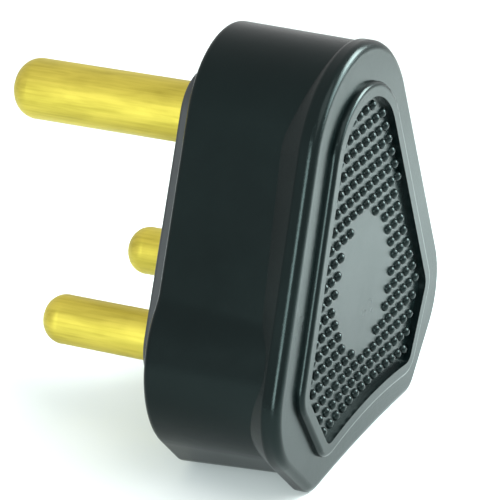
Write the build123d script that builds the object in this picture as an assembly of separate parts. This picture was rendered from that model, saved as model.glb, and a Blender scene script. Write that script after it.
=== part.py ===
from build123d import *
import math
import os

# Rewireable three-pin plug top with a soft rubber cover.
# X runs across the two current pins, +Y runs along the pins into the socket, +Z is up.
# The origin lies on the engagement face, midway between the current pins. Millimetres.

# Pins: round 16 A pattern, earth pin above
PIN_GAP = 25.4
EARTH_RISE = 28.6
LINE_PIN_R = 7.05 / 2
LINE_PIN_LENGTH = 18.6
EARTH_PIN_R = 8.7 / 2
EARTH_PIN_LENGTH = 28.6
TIP_TAPER = 3.6
TIP_BULGE = 0.45
TIP_CROWN = 0.5
TIP_FLAT_SHARE = 0.47

# Depths behind the engagement face
ISLAND_HEIGHT = 4.2
BASE_THICKNESS = 4.5
COVER_DEPTH = 20.3
LIP_EDGE = 2.4
LIP_FLARE_DEPTH = 4.8
LIP_FLARE_WIDTH = 3.0
BACK_WALL = 2.8
FRONT_WALL = 2.2
REAR_WALL = 3.4
BASE_FIT = 0.2

# Outline of the cover at its front rim: lobes round the pins and a squared foot
TOP_LOBE_Z = 29.0
TOP_LOBE_R = 13.2
LOW_LOBE_R = 14.6
WAIST_X = 21.4
WAIST_Z = 5.5
WAIST_R = 3.0
WAIST_BLEND = 5.0
FOOT_X = 15.5
FOOT_Z = -11.8
FOOT_R = 4.4
FOOT_MIN_R = 0.2
NECK_TOP_INSET = 0.4
NECK_LOW_INSET = 0.8
NECK_FOOT_RISE = 1.5
RIM_ROUND = 0.8

# Outline of the gripping lip at the back
LIP_TOP_Z = 25.4
LIP_TOP_R = 16.5
LIP_SIDE_X = 16.7
LIP_SIDE_Z = -1.9
LIP_SIDE_R = 11.1
LIP_FOOT_X = 15.7
LIP_FOOT_Z = -13.2
LIP_FOOT_R = 3.8
LIP_ARCH = 0.5
LIP_ROUND = 1.2
LIP_FRONT_ROUND = 0.7

# Grip panel: a raised border round a sunk field of small domes
PANEL_TOP_Z = 25.0
PANEL_TOP_R = 9.5
PANEL_SIDE_X = 17.6
PANEL_SIDE_Z = -0.5
PANEL_SIDE_R = 2.4
PANEL_FOOT_X = 13.1
PANEL_FOOT_Z = -8.7
PANEL_FOOT_R = 1.9
PANEL_ARCH = 0.9
BORDER_WIDTH = 2.0
BORDER_HEIGHT = 1.0
BORDER_ROUND = 0.7
DOME_R = 0.72
DOME_TOP_R = 0.4
DOME_SIDES = 8
DOME_HEIGHT = 0.5
DOME_SUNK = 0.2
DOME_COLUMN = 2.13
DOME_ROW = 2.27
DOME_TOP_ROW_Z = 32.5
DOME_MARGIN = 0.8
DOME_ARCH_FADE = 8.0
BARE_Z = 7.6
BARE_HALF_WIDTH = 9.4
BARE_HALF_HEIGHT = 9.6

# Pin roots and terminals
ROOT_STEP = 0.3
PIN_FIT = 0.1
COLLAR_R = 6.2
COLLAR_THICKNESS = 1.5
HEAD_R = 5.0
HEAD_TO_COVER = 0.5
WIRE_BORE_R = 1.9
WIRE_BORE_BACK = 3.9
TERMINAL_SCREW_R = 1.7
TERMINAL_SCREW_HEAD_R = 2.9
TERMINAL_SCREW_HEAD = 2.0

# Raised island round the pins
ISLAND_R = 6.5
ISLAND_ROUND = 0.5

# Plate that traps the pin collars
RETAINER_R = 6.7
RETAINER_THICKNESS = 2.0
RETAINER_SCREW_X = 9.0
RETAINER_SCREW_Z = 14.0
RETAINER_SCREW_R = 1.25
RETAINER_SCREW_HEAD_R = 2.5
RETAINER_SCREW_HEAD = 1.6
RETAINER_SCREW_LENGTH = 5.0
STANDOFF_R = 2.8

# Cover screw and the brass nut moulded into the cover
COVER_SCREW_Z = 10.0
COVER_SCREW_R = 1.95
COVER_SCREW_HEAD_R = 3.8
COVER_SCREW_HEAD = 2.2
COVER_SCREW_LENGTH = 13.0
COUNTERBORE_DEPTH = 2.8
COVER_BOSS_R = 5.0
NUT_R = 3.4
NUT_LENGTH = 9.0

# Cord entry and cord clamp
CORD_R = 3.9
CORD_BITE = 1.05
CLAMP_Z = -9.6
CLAMP_SCREW_X = 7.5
CLAMP_BOSS_R = 2.7
CLAMP_BAR_WIDTH = 4.8
CLAMP_BAR_END = 3.0
CLAMP_BAR_ROUND = 2.0
CLAMP_BAR_THICKNESS = 2.4
CLAMP_SCREW_R = 1.4
CLAMP_SCREW_HEAD_R = 2.5
CLAMP_SCREW_HEAD = 2.0
CLAMP_SCREW_LENGTH = 8.5

# Clearances and overshoots
CUT_OVER = 1.0
SCREW_TIP_GAP = 0.5
SCREW_FIT = 0.1
HOLE_FIT = 0.25
NUT_FIT = 0.05
SLOT_WIDTH = 0.9
SLOT_DEPTH = 0.9
HEAD_ROUND_SHARE = 0.25

# Places worked out from the sizes above
rim_y = -ISLAND_HEIGHT
base_back_y = rim_y - BASE_THICKNESS
lip_back_y = rim_y - COVER_DEPTH
lip_front_y = lip_back_y + LIP_EDGE
neck_y = lip_front_y + LIP_FLARE_DEPTH
border_y = lip_back_y - BORDER_HEIGHT
cavity_back_y = lip_back_y + BACK_WALL
collar_back_y = base_back_y - COLLAR_THICKNESS
retainer_seat_y = collar_back_y - RETAINER_THICKNESS
head_back_y = cavity_back_y + TERMINAL_SCREW_HEAD + HEAD_TO_COVER
wire_y = head_back_y + WIRE_BORE_BACK
clamp_head_y = cavity_back_y + CLAMP_SCREW_HEAD + HEAD_TO_COVER
clamp_seat_y = clamp_head_y + CLAMP_BAR_THICKNESS
cord_y = clamp_seat_y + CORD_R + HOLE_FIT - CORD_BITE
line_x = PIN_GAP / 2
foot_bottom_z = FOOT_Z - FOOT_R
pin_places = ((0, EARTH_RISE), (-line_x, 0), (line_x, 0))


def at(y):
    """Drawing plane across the pins at depth y: its x is X, its y is Z, and it faces -Y."""
    return Plane(origin=(0, y, 0), x_dir=(1, 0, 0), z_dir=(0, -1, 0))


def disc(x, z, radius):
    return Pos(x, z) * Circle(radius)


def belt(*rounds, arch=0.0):
    """Tight belt round some circles (x, z, radius), given anticlockwise from the lower right.

    The last stretch, between the two feet, may be raised to a shallow arch that blends into both.
    """
    edges = []
    leave = []
    for here, there in zip(rounds, rounds[1:] + rounds[:1]):
        run_x, run_z = there[0] - here[0], there[1] - here[1]
        gap = math.hypot(run_x, run_z)
        heading = math.atan2(run_z, run_x)
        leave.append(heading - math.acos((here[2] - there[2]) / gap))
    start, end = [leave[-1]] + leave[:-1], leave
    if arch:
        x, z, radius = rounds[0]
        high = radius - arch
        arch_r = (x**2 + high**2 - radius**2) / (2 * arch)
        turn = math.atan2(x, high + arch_r)
        start = [-math.pi / 2 - turn] + start[1:]
        end = end[:-1] + [-math.pi / 2 + turn]
    for (x, z, radius), first, last in zip(rounds, start, end):
        sweep = (last - first) % (2 * math.pi)
        edges.append(CenterArc((x, z), radius, math.degrees(first), math.degrees(sweep)))
    sides = [Line(one @ 1, two @ 0) for one, two in zip(edges, edges[1:])]
    if arch:
        crown = (0, rounds[0][1] - rounds[0][2] + arch)
        sides.append(ThreePointArc(edges[-1] @ 1, crown, edges[0] @ 0))
    else:
        sides.append(Line(edges[-1] @ 1, edges[0] @ 0))
    return make_face(edges + sides)


def both_sides(right, *middle):
    """Circles of the right-hand side, the ones in the middle, and the mirrored left-hand side."""
    left = [(-x, z, radius) for x, z, radius in reversed(right)]
    return [*right, *middle, *left]


def pair(x, z, radius):
    return (disc(-x, z, radius), disc(x, z, radius))


def prism(outline, front_y, back_y):
    """Solid between two depths, front_y nearer the socket."""
    return extrude(at(front_y) * outline, front_y - back_y)


def rod(x, z, radius, front_y, back_y):
    return prism(disc(x, z, radius), front_y, back_y)


def cover_outline(inset=0.0, top_inset=0.0, low_inset=0.0, foot_rise=0.0):
    """Three lobes: a narrow upper part, and a wider lower part with a squared foot."""
    upper_inset = inset + top_inset
    waist = (WAIST_X - upper_inset, WAIST_Z, WAIST_R)
    top = (0, TOP_LOBE_Z, TOP_LOBE_R - upper_inset)
    foot = (FOOT_X, FOOT_Z + foot_rise, max(FOOT_R - inset, FOOT_MIN_R))
    lobe = (line_x, 0, LOW_LOBE_R - inset - low_inset)
    outline = belt(*both_sides([waist], top)) + belt(*both_sides([foot, lobe]))
    kinks = outline.vertices().filter_by(lambda v: abs(v.X) > line_x and v.Y > WAIST_Z)
    return fillet(kinks.sort_by(Axis.Y)[:2], WAIST_BLEND + inset)


def lip_outline(inset=0.0):
    foot = (LIP_FOOT_X, LIP_FOOT_Z, LIP_FOOT_R - inset)
    side = (LIP_SIDE_X, LIP_SIDE_Z, LIP_SIDE_R - inset)
    return belt(*both_sides([foot, side], (0, LIP_TOP_Z, LIP_TOP_R - inset)), arch=LIP_ARCH)


def panel_outline(grow=0.0):
    foot = (PANEL_FOOT_X, PANEL_FOOT_Z, PANEL_FOOT_R + grow)
    side = (PANEL_SIDE_X, PANEL_SIDE_Z, PANEL_SIDE_R + grow)
    return belt(*both_sides([foot, side], (0, PANEL_TOP_Z, PANEL_TOP_R + grow)), arch=PANEL_ARCH)


def pin_belt(radius):
    """Rounded triangle round the three pins."""
    return belt(*both_sides([(line_x, 0, radius)], (0, EARTH_RISE, radius)))


def dome_places():
    """Staggered rows of domes that fill the panel and leave a bare oval in its middle."""
    field = panel_outline(-DOME_MARGIN)
    face = field.faces()[0]
    places = []
    rows = int((DOME_TOP_ROW_Z - PANEL_FOOT_Z) / DOME_ROW) + 1
    columns = int(PANEL_SIDE_X / DOME_COLUMN) + 1
    for row in range(rows):
        level = DOME_TOP_ROW_Z - row * DOME_ROW
        fade = max(0, 1 - (level - PANEL_FOOT_Z) / DOME_ARCH_FADE)
        for column in range(-columns, columns + 1):
            x = (column + 0.5 * ((row + 1) % 2)) * DOME_COLUMN
            z = level + fade * PANEL_ARCH * (0.5 - (x / PANEL_FOOT_X) ** 2)
            bare = (x / BARE_HALF_WIDTH) ** 2 + ((z - BARE_Z) / BARE_HALF_HEIGHT) ** 2 < 1
            if not bare and face.is_inside((x, z, 0)):
                places.append((x, z))
    return places


def grip_dome():
    """Low dome with flat facets, sunk a little into the floor of the field."""
    turns = [2 * math.pi * (side + 0.5) / DOME_SIDES for side in range(DOME_SIDES)]
    foot_y, top_y = lip_back_y + DOME_SUNK, lip_back_y - DOME_HEIGHT
    foot = [(DOME_R * math.cos(turn), foot_y, DOME_R * math.sin(turn)) for turn in turns]
    top = [(DOME_TOP_R * math.cos(turn), top_y, DOME_TOP_R * math.sin(turn)) for turn in turns]
    flats = [foot, top]
    for low, high, next_high, next_low in zip(foot, top, top[1:] + top[:1], foot[1:] + foot[:1]):
        flats.append([low, high, next_high, next_low])
    return Solid(Shell([Face(Wire.make_polygon(flat)) for flat in flats]))


def lip():
    flare = loft([at(neck_y) * lip_outline(LIP_FLARE_WIDTH), at(lip_front_y) * lip_outline()])
    whole = flare + prism(lip_outline(), lip_front_y, lip_back_y)
    whole = fillet(whole.faces().sort_by(Axis.Y)[0].outer_wire().edges(), LIP_ROUND)
    corner = whole.edges().filter_by(lambda e: abs(e.center().Y - lip_front_y) < CUT_OVER / 10)
    return fillet(corner, LIP_FRONT_ROUND)


def panel_border():
    border = prism(panel_outline(BORDER_WIDTH), lip_back_y, border_y)
    back = border.faces().sort_by(Axis.Y)[0]
    return fillet(back.outer_wire().edges(), BORDER_ROUND)


def rubber_cover():
    front = at(rim_y) * cover_outline()
    neck = at(lip_front_y) * cover_outline(0, NECK_TOP_INSET, NECK_LOW_INSET, NECK_FOOT_RISE)
    skirt = loft([front, neck])
    rim = skirt.faces().sort_by(Axis.Y)[-1]
    skirt = fillet(rim.outer_wire().edges(), RIM_ROUND)
    cover = skirt + lip() + panel_border()
    cover -= prism(panel_outline(), lip_back_y, border_y - CUT_OVER)
    cover -= prism(cover_outline(FRONT_WALL), rim_y + CUT_OVER, base_back_y)
    cover -= prism(cover_outline(REAR_WALL), base_back_y, cavity_back_y)
    cover += rod(0, COVER_SCREW_Z, COVER_BOSS_R, base_back_y, cavity_back_y - CUT_OVER)
    cover -= rod(0, COVER_SCREW_Z, NUT_R + NUT_FIT, base_back_y, base_back_y - NUT_LENGTH)
    entry = Plane(origin=(0, cord_y, foot_bottom_z - CUT_OVER)) * Circle(CORD_R + HOLE_FIT)
    cover -= extrude(entry, CLAMP_Z - foot_bottom_z + CUT_OVER)
    dome = grip_dome()
    domes = [Pos(x, 0, z) * dome for x, z in dome_places()]
    return cover.fuse(*domes)


def pin_base():
    island = prism(pin_belt(ISLAND_R), 0, rim_y)
    front = island.faces().sort_by(Axis.Y)[-1]
    island = fillet(front.outer_wire().edges(), ISLAND_ROUND)
    base = island + prism(cover_outline(FRONT_WALL + BASE_FIT), rim_y, base_back_y)
    for side in (-1, 1):
        base += rod(side * RETAINER_SCREW_X, RETAINER_SCREW_Z, STANDOFF_R, base_back_y, collar_back_y)
        base += rod(side * CLAMP_SCREW_X, CLAMP_Z, CLAMP_BOSS_R, base_back_y, clamp_seat_y)
    for side in (-1, 1):
        tip_y = retainer_seat_y + RETAINER_SCREW_LENGTH + SCREW_TIP_GAP
        pilot_r = RETAINER_SCREW_R + SCREW_FIT
        base -= rod(side * RETAINER_SCREW_X, RETAINER_SCREW_Z, pilot_r, tip_y, collar_back_y)
        tip_y = clamp_head_y + CLAMP_SCREW_LENGTH + SCREW_TIP_GAP
        base -= rod(side * CLAMP_SCREW_X, CLAMP_Z, CLAMP_SCREW_R + SCREW_FIT, tip_y, clamp_seat_y)
        base -= rod(side * line_x, 0, LINE_PIN_R + ROOT_STEP + PIN_FIT, CUT_OVER, base_back_y)
    base -= rod(0, EARTH_RISE, EARTH_PIN_R + ROOT_STEP + PIN_FIT, CUT_OVER, base_back_y)
    base -= rod(0, COVER_SCREW_Z, COVER_SCREW_R + HOLE_FIT, CUT_OVER, base_back_y)
    base -= rod(0, COVER_SCREW_Z, COVER_SCREW_HEAD_R + HOLE_FIT, CUT_OVER, -COUNTERBORE_DEPTH)
    return base


def pin(x, z, radius, length):
    """Turned brass pin: round nose, shank, thicker root, collar, and a head with a wire bore."""
    root = radius + ROOT_STEP
    flat = radius * TIP_FLAT_SHARE
    shoulder = (radius, length - TIP_TAPER)
    crown = (flat, length - TIP_CROWN)
    middle = ((shoulder[0] + crown[0]) / 2 + TIP_BULGE, (shoulder[1] + crown[1]) / 2 + TIP_BULGE)
    crown_r = (flat**2 + TIP_CROWN**2) / (2 * TIP_CROWN)
    half_turn = math.asin(flat / crown_r) / 2
    crown_middle = (crown_r * math.sin(half_turn), length - crown_r + crown_r * math.cos(half_turn))
    profile = [
        Line((0, head_back_y), (HEAD_R, head_back_y)),
        Line((HEAD_R, head_back_y), (HEAD_R, collar_back_y)),
        Line((HEAD_R, collar_back_y), (COLLAR_R, collar_back_y)),
        Line((COLLAR_R, collar_back_y), (COLLAR_R, base_back_y)),
        Line((COLLAR_R, base_back_y), (root, base_back_y)),
        Line((root, base_back_y), (root, 0)),
        Line((root, 0), (radius, 0)),
        Line((radius, 0), shoulder),
        ThreePointArc(shoulder, middle, crown),
        ThreePointArc(crown, crown_middle, (0, length)),
        Line((0, length), (0, head_back_y)),
    ]
    body = revolve(make_face(profile), Axis.Y)
    body = Pos(x, 0, z) * body
    body -= rod(x, z, TERMINAL_SCREW_R + SCREW_FIT, wire_y, head_back_y)
    bore = Plane(origin=(x, wire_y, z - COLLAR_R)) * Circle(WIRE_BORE_R)
    return body - extrude(bore, 2 * COLLAR_R)


def screw(x, z, seat_y, radius, length, head_r, head, to_front=True):
    """Slotted screw whose head bears at seat_y. Its shank runs towards the socket or away from it."""
    way = 1 if to_front else -1
    plane = Plane(origin=(x, seat_y, z), x_dir=(1, 0, 0), z_dir=(0, way, 0))
    shank = extrude(plane * Circle(radius), length)
    cap = extrude(plane * Circle(head_r), -head)
    edge = cap.faces().sort_by(Axis.Y)[0 if to_front else -1].edges()
    cap = fillet(edge, head * HEAD_ROUND_SHARE)
    slot = Pos(x, seat_y - way * head, z) * Box(3 * head_r, 2 * SLOT_DEPTH, SLOT_WIDTH)
    return shank + cap - slot


def pin_retainer():
    plate = pin_belt(RETAINER_R)
    for x, z in pin_places:
        plate -= disc(x, z, HEAD_R + HOLE_FIT)
    plate -= disc(0, COVER_SCREW_Z, COVER_BOSS_R + HOLE_FIT)
    for one in pair(RETAINER_SCREW_X, RETAINER_SCREW_Z, RETAINER_SCREW_R + HOLE_FIT):
        plate -= one
    return prism(plate, collar_back_y, retainer_seat_y)


def cord_clamp_bar():
    half = CLAMP_SCREW_X + CLAMP_BAR_END
    shape = Pos(0, CLAMP_Z) * RectangleRounded(2 * half, CLAMP_BAR_WIDTH, CLAMP_BAR_ROUND)
    for one in pair(CLAMP_SCREW_X, CLAMP_Z, CLAMP_SCREW_R + HOLE_FIT):
        shape -= one
    bar = prism(shape, clamp_seat_y, clamp_head_y)
    groove = Plane(origin=(0, cord_y, CLAMP_Z - CLAMP_BAR_WIDTH)) * Circle(CORD_R + HOLE_FIT)
    return bar - extrude(groove, 2 * CLAMP_BAR_WIDTH)


def cover_nut():
    ring = disc(0, COVER_SCREW_Z, NUT_R) - disc(0, COVER_SCREW_Z, COVER_SCREW_R + SCREW_FIT)
    return prism(ring, base_back_y, base_back_y - NUT_LENGTH)


def terminal_screw(x, z):
    reach = WIRE_BORE_BACK - WIRE_BORE_R
    return screw(x, z, head_back_y, TERMINAL_SCREW_R, reach, TERMINAL_SCREW_HEAD_R, TERMINAL_SCREW_HEAD)


def retainer_screw(side):
    place = (side * RETAINER_SCREW_X, RETAINER_SCREW_Z, retainer_seat_y)
    return screw(*place, RETAINER_SCREW_R, RETAINER_SCREW_LENGTH, RETAINER_SCREW_HEAD_R, RETAINER_SCREW_HEAD)


def clamp_screw(side):
    place = (side * CLAMP_SCREW_X, CLAMP_Z, clamp_head_y)
    return screw(*place, CLAMP_SCREW_R, CLAMP_SCREW_LENGTH, CLAMP_SCREW_HEAD_R, CLAMP_SCREW_HEAD)


def cover_screw():
    place = (0, COVER_SCREW_Z, -COUNTERBORE_DEPTH)
    return screw(*place, COVER_SCREW_R, COVER_SCREW_LENGTH, COVER_SCREW_HEAD_R, COVER_SCREW_HEAD, False)


def main():
    parts = {
        "rubber_cover": rubber_cover(),
        "pin_base": pin_base(),
        "earth_pin": pin(0, EARTH_RISE, EARTH_PIN_R, EARTH_PIN_LENGTH),
        "live_pin": pin(line_x, 0, LINE_PIN_R, LINE_PIN_LENGTH),
        "neutral_pin": pin(-line_x, 0, LINE_PIN_R, LINE_PIN_LENGTH),
        "pin_retainer": pin_retainer(),
        "retainer_screw_left": retainer_screw(-1),
        "retainer_screw_right": retainer_screw(1),
        "earth_terminal_screw": terminal_screw(0, EARTH_RISE),
        "live_terminal_screw": terminal_screw(line_x, 0),
        "neutral_terminal_screw": terminal_screw(-line_x, 0),
        "cord_clamp_bar": cord_clamp_bar(),
        "cord_clamp_screw_left": clamp_screw(-1),
        "cord_clamp_screw_right": clamp_screw(1),
        "cover_screw": cover_screw(),
        "cover_nut": cover_nut(),
    }
    os.makedirs("parts", exist_ok=True)
    for name, shape in parts.items():
        export_step(shape, "parts/" + name + ".step")


if __name__ == "__main__":
    main()
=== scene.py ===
"""Looks of a round-pin plug top: its rubber cover with a domed grip field, its brass pins,
its moulded base and the pieces inside, on a plain pale floor."""

import math

import bmesh
import bpy
from bpy.props import FloatProperty, FloatVectorProperty, IntProperty, PointerProperty
from mathutils import Matrix, Vector


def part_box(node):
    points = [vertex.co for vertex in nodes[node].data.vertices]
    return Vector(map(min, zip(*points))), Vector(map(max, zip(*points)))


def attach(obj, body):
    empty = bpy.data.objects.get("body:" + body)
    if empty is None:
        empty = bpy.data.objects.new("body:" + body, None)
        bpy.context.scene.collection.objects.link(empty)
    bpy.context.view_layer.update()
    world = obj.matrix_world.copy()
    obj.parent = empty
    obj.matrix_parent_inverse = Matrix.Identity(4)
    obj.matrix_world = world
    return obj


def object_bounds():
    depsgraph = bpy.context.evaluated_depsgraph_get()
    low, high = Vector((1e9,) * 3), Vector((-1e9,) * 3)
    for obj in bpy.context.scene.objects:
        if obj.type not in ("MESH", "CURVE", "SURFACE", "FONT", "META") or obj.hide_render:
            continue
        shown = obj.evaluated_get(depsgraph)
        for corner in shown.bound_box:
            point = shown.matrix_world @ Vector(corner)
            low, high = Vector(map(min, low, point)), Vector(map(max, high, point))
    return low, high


bl_info = {
    "name": "Round-pin plug top",
    "version": (1, 0, 0),
    "blender": (4, 5, 0),
    "location": "3D View > Sidebar > Plug top",
    "description": "Dresses the packed plug top and sets it on a studio floor",
    "category": "Object",
}

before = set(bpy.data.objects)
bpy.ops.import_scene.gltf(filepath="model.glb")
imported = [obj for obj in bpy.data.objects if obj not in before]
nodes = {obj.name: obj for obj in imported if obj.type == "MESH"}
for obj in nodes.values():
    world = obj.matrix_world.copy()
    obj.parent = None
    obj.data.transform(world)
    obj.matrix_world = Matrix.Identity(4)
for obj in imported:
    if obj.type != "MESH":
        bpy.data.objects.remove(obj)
cad_low, cad_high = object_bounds()

MM = 0.001
cover_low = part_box("rubber_cover")[0]

# Grip field: circles (x, z, radius) that bound the places of the domes, the rise of its arched foot,
# the height over which the rows straighten, the half sizes and centre of the bare oval, the most rows
# and the most columns on each side of the middle
FIELD_FOOT = (13.1 * MM, -8.7 * MM, 1.1 * MM)
FIELD_SIDE = (17.6 * MM, -0.5 * MM, 1.6 * MM)
FIELD_TOP = (0, 25.0 * MM, 8.7 * MM)
FIELD_ARCH = 0.9 * MM
ARCH_FADE = 8.0 * MM
BARE_HALF_WIDTH = 9.4 * MM
BARE_HALF_HEIGHT = 9.6 * MM
BARE_Z = 7.6 * MM
ROWS = 19
SIDE_COLUMNS = 9
BELT_STEPS = 180

# How far the open edge of each smooth dome lies under the field
DOME_EDGE_SUNK = 0.05 * MM

SHARP_ANGLE = math.radians(35)

# Camera: the point it looks at, the shift of the picture from there to the right and down in pixels,
# the width of the picture in pixels and the width of the sensor in millimetres
TARGET = Vector((0, 1.64 * MM, 14 * MM))
SHIFT_RIGHT = 58.38
SHIFT_DOWN = 40.48
PICTURE_WIDTH = 500
SENSOR_WIDTH = 36.0

FLOOR_HALF = 1.5

# Lamps: name, place, point that it lights, width and height, power in watts and colour. The side and
# foot lamps light the floor that the back of the cover reflects, the window makes the line on its lip.
LAMPS = (
    ("key", (-0.15, -0.4, 0.55), (0, 0, 0.01), (0.5, 0.5), 2.2, (1, 1, 1)),
    ("side", (0.12, -0.12, 0.1), (0.04, -0.04, -0.017), (0.08, 0.08), 0.6, (0.85, 1.0, 0.98)),
    ("foot", (0.05, -0.1, 0.05), (0, -0.034, -0.019), (0.06, 0.06), 0.16, (0.8, 1.0, 1.0)),
    ("window", (-0.47, -0.08, 0.14), (0, 0, 0.01), (0.2, 0.25), 3.0, (0.85, 1.0, 1.0)),
)


# Properties


class GripSizes(bpy.types.PropertyGroup):
    """Sizes of the domes in the grip field."""

    dome_radius: FloatProperty(
        name="Dome radius",
        description="Ball radius of each dome",
        default=0.77 * MM,
        unit="LENGTH",
    )
    dome_sunk: FloatProperty(
        name="Dome sunk",
        description="Depth of a dome's centre below the field",
        default=0.13 * MM,
        unit="LENGTH",
    )
    column_pitch: FloatProperty(
        name="Column pitch",
        description="Spacing of the domes along a row",
        default=2.13 * MM,
        unit="LENGTH",
    )
    row_pitch: FloatProperty(
        name="Row pitch",
        description="Spacing of the rows",
        default=2.27 * MM,
        unit="LENGTH",
    )
    top_row: FloatProperty(
        name="Top row", description="Height of the top row", default=32.5 * MM, unit="LENGTH"
    )
    border_height: FloatProperty(
        name="Border height",
        description="Height of the border round the field",
        default=1.0 * MM,
        unit="LENGTH",
    )
    dome_segments: IntProperty(name="Dome segments", description="Facets round a dome", default=14)
    dome_rings: IntProperty(
        name="Dome rings", description="Rings from pole to pole of a dome's ball", default=8
    )


class Finishes(bpy.types.PropertyGroup):
    """Colours of the materials."""

    rubber_dark: FloatVectorProperty(
        name="Rubber",
        description="Main colour of the rubber",
        default=(0.001, 0.0024, 0.0025),
        subtype="COLOR",
    )
    rubber_light: FloatVectorProperty(
        name="Rubber bloom",
        description="Paler bloom on the rubber",
        default=(0.0022, 0.0044, 0.0044),
        subtype="COLOR",
    )
    brass_bright: FloatVectorProperty(
        name="Bright brass",
        description="Rubbed brass",
        default=(0.58, 0.48, 0.08),
        subtype="COLOR",
    )
    brass_dull: FloatVectorProperty(
        name="Dull brass",
        description="Brass in its rub marks",
        default=(0.4, 0.33, 0.045),
        subtype="COLOR",
    )
    nylon_black: FloatVectorProperty(
        name="Base",
        description="Moulded base",
        default=(0.02, 0.021, 0.023),
        subtype="COLOR",
    )
    nylon_natural: FloatVectorProperty(
        name="Inner nylon",
        description="Moulded pieces inside",
        default=(0.62, 0.6, 0.52),
        subtype="COLOR",
    )
    steel: FloatVectorProperty(
        name="Screw steel",
        description="Plated screws",
        default=(0.6, 0.61, 0.63),
        subtype="COLOR",
    )


class StageSettings(bpy.types.PropertyGroup):
    """Camera and floor."""

    azimuth: FloatProperty(
        name="Azimuth",
        description="Turn of the camera about the vertical",
        default=math.radians(-63.79),
        subtype="ANGLE",
    )
    elevation: FloatProperty(
        name="Elevation",
        description="Height of the camera as an angle",
        default=math.radians(24.26),
        subtype="ANGLE",
    )
    roll: FloatProperty(
        name="Roll",
        description="Tilt of the picture",
        default=math.radians(-1.23),
        subtype="ANGLE",
    )
    distance: FloatProperty(
        name="Distance",
        description="Camera to target",
        default=410.4 * MM,
        unit="LENGTH",
    )
    lens: FloatProperty(name="Lens", description="Focal length in millimetres", default=211.4)
    floor_tone: FloatVectorProperty(
        name="Floor",
        description="Colour of the floor",
        default=(0.9, 0.9, 0.9),
        subtype="COLOR",
    )


# Materials


class Nodes:
    """Short calls for building a node tree."""

    def __init__(self, name):
        self.material = bpy.data.materials.new(name)
        self.material.use_nodes = True
        self.tree = self.material.node_tree
        self.shader = self.tree.nodes["Principled BSDF"]
        self.place = self.tree.nodes.new("ShaderNodeTexCoord").outputs["Object"]

    def stretched(self, scale):
        mapping = self.tree.nodes.new("ShaderNodeMapping")
        mapping.inputs["Scale"].default_value = scale
        self.tree.links.new(self.place, mapping.inputs["Vector"])
        return mapping.outputs["Vector"]

    def noise(self, scale, detail=4.0, vector=None, distortion=0.0):
        noise = self.tree.nodes.new("ShaderNodeTexNoise")
        noise.inputs["Scale"].default_value = scale
        noise.inputs["Detail"].default_value = detail
        noise.inputs["Distortion"].default_value = distortion
        self.tree.links.new(vector or self.place, noise.inputs["Vector"])
        return noise.outputs["Fac"]

    def ramp(self, factor, low, high, start=0.3, end=0.7):
        ramp = self.tree.nodes.new("ShaderNodeValToRGB")
        ramp.color_ramp.elements[0].position = start
        ramp.color_ramp.elements[1].position = end
        ramp.color_ramp.elements[0].color = (*low, 1)
        ramp.color_ramp.elements[1].color = (*high, 1)
        self.tree.links.new(factor, ramp.inputs["Fac"])
        return ramp.outputs["Color"]

    def span(self, factor, low, high):
        span = self.tree.nodes.new("ShaderNodeMapRange")
        span.inputs["To Min"].default_value = low
        span.inputs["To Max"].default_value = high
        self.tree.links.new(factor, span.inputs["Value"])
        return span.outputs["Result"]

    def bump(self, height, distance, under=None):
        bump = self.tree.nodes.new("ShaderNodeBump")
        bump.inputs["Distance"].default_value = distance
        bump.inputs["Strength"].default_value = 1.0
        self.tree.links.new(height, bump.inputs["Height"])
        if under:
            self.tree.links.new(under, bump.inputs["Normal"])
        return bump.outputs["Normal"]

    def link(self, output, name):
        self.tree.links.new(output, self.shader.inputs[name])


def rubber(finishes):
    """Black rubber with a cool sheen, faint bloom and fine grain."""
    look = Nodes("cover_rubber")
    bloom = look.noise(55, detail=5.0)
    look.link(look.ramp(bloom, finishes.rubber_dark, finishes.rubber_light), "Base Color")
    look.link(look.span(look.noise(140, detail=6.0), 0.16, 0.32), "Roughness")
    flow = look.bump(look.noise(110, detail=2.0), 0.05 * MM)
    grain = look.bump(look.noise(3200, detail=3.0), 0.012 * MM, under=flow)
    look.link(grain, "Normal")
    look.shader.inputs["IOR"].default_value = 1.25
    look.shader.inputs["Specular Tint"].default_value = (0.8, 1.0, 0.98, 1)
    return look.material


def brass(name, bright, dull):
    """Brass with rub marks along the pins and duller patches."""
    look = Nodes(name)
    streaks = look.noise(2200, detail=5.0, vector=look.stretched((1.0, 0.04, 1.0)))
    patches = look.noise(500, detail=6.0, vector=look.stretched((1.0, 0.3, 1.0)), distortion=0.4)
    mixed = look.tree.nodes.new("ShaderNodeMath")
    mixed.operation = "MULTIPLY_ADD"
    mixed.inputs[1].default_value = 0.5
    look.tree.links.new(streaks, mixed.inputs[0])
    halved = look.span(patches, 0.0, 0.5)
    look.tree.links.new(halved, mixed.inputs[2])
    look.link(look.ramp(mixed.outputs[0], dull, bright, 0.3, 0.6), "Base Color")
    look.link(look.span(patches, 0.38, 0.62), "Roughness")
    look.shader.inputs["Metallic"].default_value = 1.0
    look.link(look.bump(streaks, 0.012 * MM), "Normal")
    return look.material


def nylon(name, colour):
    """Moulded nylon with a slight grain."""
    look = Nodes(name)
    darker = [c * 0.8 for c in colour]
    look.link(look.ramp(look.noise(120), darker, colour), "Base Color")
    look.link(look.span(look.noise(900), 0.45, 0.6), "Roughness")
    look.link(look.bump(look.noise(2500, detail=3.0), 0.02 * MM), "Normal")
    return look.material


def steel(name, colour):
    """Plated steel with fine turning marks."""
    look = Nodes(name)
    turned = look.noise(3000, detail=4.0, vector=look.stretched((1.0, 0.05, 1.0)))
    darker = [c * 0.75 for c in colour]
    look.link(look.ramp(turned, darker, colour), "Base Color")
    look.link(look.span(look.noise(500), 0.25, 0.4), "Roughness")
    look.shader.inputs["Metallic"].default_value = 1.0
    look.link(look.bump(turned, 0.01 * MM), "Normal")
    return look.material


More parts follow.
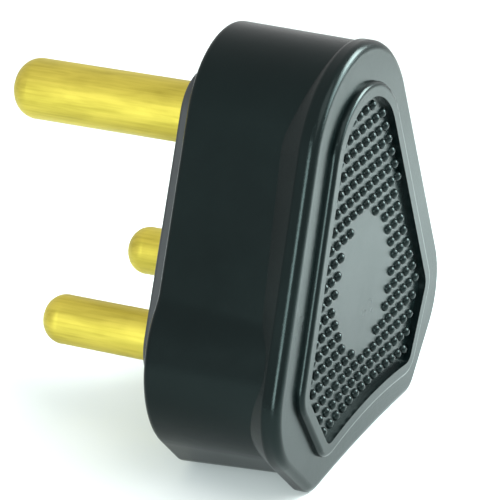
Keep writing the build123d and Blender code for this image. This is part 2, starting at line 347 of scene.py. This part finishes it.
def dress(obj, material):
    obj.data.materials.clear()
    obj.data.materials.append(material)


# Pieces


def shade(obj):
    """Smooths a piece except at its sharp edges."""
    obj.data.polygons.foreach_set("use_smooth", [True] * len(obj.data.polygons))
    obj.data.set_sharp_from_angle(angle=SHARP_ANGLE)


def field_rounds():
    """Circles (x, z, radius) whose tight belt bounds the places of the domes."""
    right = [FIELD_FOOT, FIELD_SIDE]
    left = [(-x, z, radius) for x, z, radius in right]
    return right + [FIELD_TOP] + left


def inside_belt(x, z, rounds):
    """Whether a place lies inside the tight belt round some circles."""
    for step in range(BELT_STEPS):
        turn = math.radians(360 / BELT_STEPS * step)
        along, up = math.cos(turn), math.sin(turn)
        reach = max(cx * along + cz * up + radius for cx, cz, radius in rounds)
        if x * along + z * up > reach:
            return False
    return True


def dome_places(sizes):
    """Staggered rows of domes round a bare oval. The low rows follow the arched foot of the field."""
    foot_x, foot_z, foot_radius = FIELD_FOOT
    rounds = field_rounds()
    places = []
    for row in range(ROWS):
        level = sizes.top_row - row * sizes.row_pitch
        fade = max(0, 1 - (level - foot_z) / ARCH_FADE)
        for column in range(-SIDE_COLUMNS, SIDE_COLUMNS + 1):
            x = (column + 0.5 * ((row + 1) % 2)) * sizes.column_pitch
            z = level + fade * FIELD_ARCH * (0.5 - (x / foot_x) ** 2)
            bare = (x / BARE_HALF_WIDTH) ** 2 + ((z - BARE_Z) / BARE_HALF_HEIGHT) ** 2 < 1
            low = z < foot_z - foot_radius + FIELD_ARCH * (1 - (x / foot_x) ** 2)
            if not bare and not low and inside_belt(x, z, rounds):
                places.append((x, z))
    return places


def grip_domes(sizes, material):
    """Smooth domes over the faceted ones of the solid."""
    floor_y = cover_low.y + sizes.border_height
    ball = bmesh.new()
    bmesh.ops.create_uvsphere(
        ball,
        u_segments=sizes.dome_segments,
        v_segments=sizes.dome_rings,
        radius=sizes.dome_radius,
        matrix=Matrix.Rotation(math.pi / 2, 4, "X"),
    )
    cut = ball.verts[:] + ball.edges[:] + ball.faces[:]
    edge_y = -sizes.dome_sunk + DOME_EDGE_SUNK
    bmesh.ops.bisect_plane(ball, geom=cut, plane_co=(0, edge_y, 0), plane_no=(0, 1, 0), clear_outer=True)
    mesh = bpy.data.meshes.new("dome")
    ball.to_mesh(mesh)
    ball.free()
    bm = bmesh.new()
    for x, z in dome_places(sizes):
        first = len(bm.verts)
        bm.from_mesh(mesh)
        bm.verts.ensure_lookup_table()
        bmesh.ops.translate(bm, verts=bm.verts[first:], vec=(x, floor_y + sizes.dome_sunk, z))
    bpy.data.meshes.remove(mesh)
    return piece(bm, "grip_domes", material)


def piece(bm, name, material):
    """Turns a bmesh into a piece of the object, with its place in its mesh."""
    mesh = bpy.data.meshes.new(name)
    bm.to_mesh(mesh)
    bm.free()
    obj = bpy.data.objects.new(name, mesh)
    bpy.context.scene.collection.objects.link(obj)
    dress(obj, material)
    shade(obj)
    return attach(obj, "root")


class PLUG_OT_cover(bpy.types.Operator):
    """Finishes the rubber cover"""

    bl_idname = "plug.cover"
    bl_label = "Rubber cover"

    def execute(self, context):
        finishes = context.scene.plug_finishes
        material = rubber(finishes)
        dress(nodes["rubber_cover"], material)
        grip_domes(context.scene.plug_grip, material)
        return {"FINISHED"}


class PLUG_OT_pins(bpy.types.Operator):
    """Finishes the three pins"""

    bl_idname = "plug.pins"
    bl_label = "Brass pins"

    def execute(self, context):
        finishes = context.scene.plug_finishes
        material = brass("pin_brass", finishes.brass_bright, finishes.brass_dull)
        for name in ("earth_pin", "live_pin", "neutral_pin"):
            dress(nodes[name], material)
        return {"FINISHED"}


class PLUG_OT_inside(bpy.types.Operator):
    """Finishes the base and the pieces inside the cover"""

    bl_idname = "plug.inside"
    bl_label = "Base and inner pieces"

    def execute(self, context):
        finishes = context.scene.plug_finishes
        dress(nodes["pin_base"], nylon("base_nylon", finishes.nylon_black))
        inner = nylon("inner_nylon", finishes.nylon_natural)
        fastener = steel("screw_steel", finishes.steel)
        terminal = brass("terminal_brass", finishes.brass_dull, finishes.brass_bright)
        for name, node in nodes.items():
            if name in ("pin_retainer", "cord_clamp_bar"):
                dress(node, inner)
            elif "terminal" in name or name == "cover_nut":
                dress(node, terminal)
            elif "screw" in name:
                dress(node, fastener)
        return {"FINISHED"}


# Stage


def area_light(name, place, aim, size, watts, colour):
    """Rectangular lamp at a place, turned to the point that it lights."""
    light = bpy.data.lights.new(name, "AREA")
    light.shape = "RECTANGLE"
    light.size, light.size_y = size
    light.energy = watts
    light.color = colour
    obj = bpy.data.objects.new(name, light)
    bpy.context.scene.collection.objects.link(obj)
    obj.location = place
    obj.rotation_euler = (Vector(aim) - Vector(place)).to_track_quat("-Z", "Y").to_euler()


def camera_at(stage):
    """Camera at the photograph's angle, moved sideways by the shifts of the picture."""
    turn, tilt, roll = stage.azimuth, stage.elevation, stage.roll
    back = Vector((math.sin(turn) * math.cos(tilt), -math.cos(turn) * math.cos(tilt), math.sin(tilt)))
    right = (-back).cross(Vector((0, 0, 1))).normalized()
    up = right.cross(-back)
    right_rolled = math.cos(roll) * right + math.sin(roll) * up
    up_rolled = -math.sin(roll) * right + math.cos(roll) * up
    pixel = stage.distance * SENSOR_WIDTH / stage.lens / PICTURE_WIDTH
    shift = right_rolled * SHIFT_RIGHT * pixel - up_rolled * SHIFT_DOWN * pixel
    place = TARGET + back * stage.distance + shift
    data = bpy.data.cameras.new("photo_camera")
    data.lens = stage.lens
    data.sensor_width = SENSOR_WIDTH
    data.clip_start, data.clip_end = 0.01, 20
    obj = bpy.data.objects.new("photo_camera", data)
    bpy.context.scene.collection.objects.link(obj)
    facing = Matrix((right_rolled, up_rolled, back)).transposed().to_4x4()
    obj.matrix_world = Matrix.Translation(place) @ facing
    bpy.context.scene.camera = obj


def surroundings():
    """World that is white to the eye and in reflections, and lights matt surfaces a little less."""
    world = bpy.data.worlds.new("studio")
    world.use_nodes = True
    bpy.context.scene.world = world
    tree = world.node_tree
    soft = tree.nodes["Background"]
    soft.inputs["Color"].default_value = (0.93, 1.0, 0.98, 1)
    soft.inputs["Strength"].default_value = 0.75
    white = tree.nodes.new("ShaderNodeBackground")
    white.inputs["Color"].default_value = (1, 1, 1, 1)
    white.inputs["Strength"].default_value = 1.0
    path = tree.nodes.new("ShaderNodeLightPath")
    mix = tree.nodes.new("ShaderNodeMixShader")
    seen = path.outputs["Is Camera Ray"]
    for ray in ("Is Glossy Ray", "Is Transmission Ray"):
        total = tree.nodes.new("ShaderNodeMath")
        total.operation = "MAXIMUM"
        tree.links.new(seen, total.inputs[0])
        tree.links.new(path.outputs[ray], total.inputs[1])
        seen = total.outputs[0]
    tree.links.new(seen, mix.inputs["Fac"])
    tree.links.new(soft.outputs[0], mix.inputs[1])
    tree.links.new(white.outputs[0], mix.inputs[2])
    tree.links.new(mix.outputs[0], tree.nodes["World Output"].inputs["Surface"])


class PLUG_OT_stage(bpy.types.Operator):
    """Sets the floor, the lights and the camera"""

    bl_idname = "plug.stage"
    bl_label = "Studio stage"

    def execute(self, context):
        stage = context.scene.plug_stage
        bm = bmesh.new()
        bmesh.ops.create_grid(bm, x_segments=4, y_segments=4, size=FLOOR_HALF)
        bmesh.ops.translate(bm, verts=bm.verts, vec=(0, 0, cad_low.z))
        mesh = bpy.data.meshes.new("floor")
        bm.to_mesh(mesh)
        bm.free()
        floor = bpy.data.objects.new("floor", mesh)
        context.scene.collection.objects.link(floor)
        look = Nodes("floor_paper")
        look.shader.inputs["Base Color"].default_value = (*stage.floor_tone, 1)
        look.shader.inputs["Roughness"].default_value = 0.8
        floor.data.materials.append(look.material)
        surroundings()
        for lamp in LAMPS:
            area_light(*lamp)
        camera_at(stage)
        context.scene.view_settings.view_transform = "Standard"
        return {"FINISHED"}


class PLUG_PT_panel(bpy.types.Panel):
    """Lists the steps of the plug top"""

    bl_idname = "PLUG_PT_panel"
    bl_label = "Plug top"
    bl_space_type = "VIEW_3D"
    bl_region_type = "UI"
    bl_category = "Plug top"

    def draw(self, context):
        column = self.layout.column()
        for operator in OPERATORS:
            column.operator(operator.bl_idname)


PROPERTY_GROUPS = (GripSizes, Finishes, StageSettings)
OPERATORS = (PLUG_OT_cover, PLUG_OT_pins, PLUG_OT_inside, PLUG_OT_stage)


def register():
    for each in PROPERTY_GROUPS + OPERATORS + (PLUG_PT_panel,):
        bpy.utils.register_class(each)
    bpy.types.Scene.plug_grip = PointerProperty(type=GripSizes)
    bpy.types.Scene.plug_finishes = PointerProperty(type=Finishes)
    bpy.types.Scene.plug_stage = PointerProperty(type=StageSettings)


def unregister():
    del bpy.types.Scene.plug_stage
    del bpy.types.Scene.plug_finishes
    del bpy.types.Scene.plug_grip
    for each in reversed(PROPERTY_GROUPS + OPERATORS + (PLUG_PT_panel,)):
        bpy.utils.unregister_class(each)


def main():
    register()
    bpy.ops.plug.cover()
    bpy.ops.plug.pins()
    bpy.ops.plug.inside()
    bpy.ops.plug.stage()


if __name__ == "__main__":
    main()
